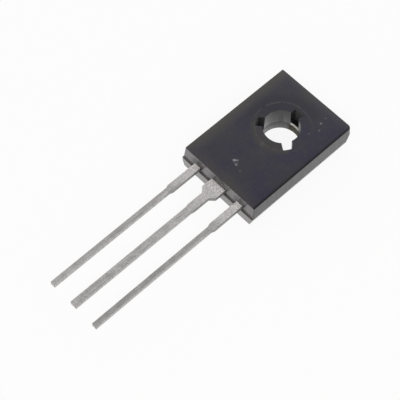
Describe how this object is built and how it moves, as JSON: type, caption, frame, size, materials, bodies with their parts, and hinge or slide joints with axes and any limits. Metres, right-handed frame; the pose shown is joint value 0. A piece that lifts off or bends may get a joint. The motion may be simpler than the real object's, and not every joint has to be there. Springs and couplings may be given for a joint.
{
  "type": "npn transistor",
  "caption": "Power transistor in a flat black moulded package with a screw hole, a tinned heat tab bare in its back and flat straight leads in a row.",
  "frame": {"origin": "axis of the screw hole at the back face, where the bare heat tab meets a heatsink", "axes": "+Z out of the front face along the hole's axis, +Y away from the leads along the package, +X across the row of leads, from the emitter lead to the base lead"},
  "size_m": [0.0076, 0.0253, 0.0026],
  "materials": {
    "moulding": "satin black epoxy moulding compound",
    "tinned_copper": "dull tin plate on copper",
    "silicon": "polished silicon",
    "solder": "dull solder",
    "bond_aluminium": "drawn wire"
  },
  "bodies": {
    "root": {"moulded_body": "moulding", "collector_frame": "tinned_copper", "emitter_lead": "tinned_copper", "base_lead": "tinned_copper", "silicon_chip": "silicon", "chip_solder": "solder", "emitter_wire": "bond_aluminium", "base_wire": "bond_aluminium"}
  },
  "joints": []
}
